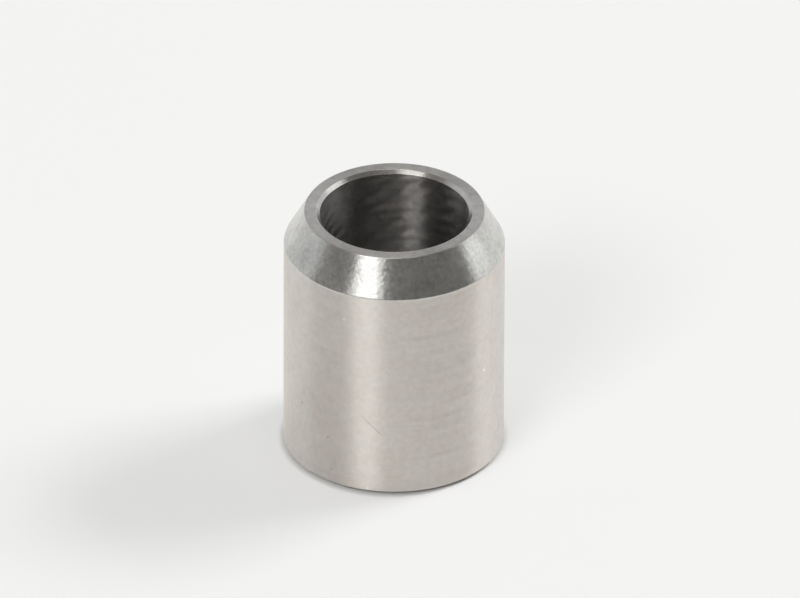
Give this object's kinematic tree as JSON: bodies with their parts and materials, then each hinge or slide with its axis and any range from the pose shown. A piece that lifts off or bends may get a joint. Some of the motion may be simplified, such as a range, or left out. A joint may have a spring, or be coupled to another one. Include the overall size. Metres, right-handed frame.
{
  "type": "spacer sleeve",
  "caption": "Short turned steel sleeve with a straight through bore, a ground outside, and a conical nose that ends in a thin flat ring.",
  "frame": {"origin": "centre of the foot's flat face, on the bore's axis", "axes": "+Z along the bore's axis, from the foot to the conical nose; the sleeve is round, so X and Y are free"},
  "size_m": [0.012, 0.012, 0.0145],
  "materials": {
    "stainless_steel": "ground outside, bright turned cone and end face, as-bored inside"
  },
  "bodies": {
    "root": {"sleeve": "stainless_steel"}
  },
  "joints": []
}
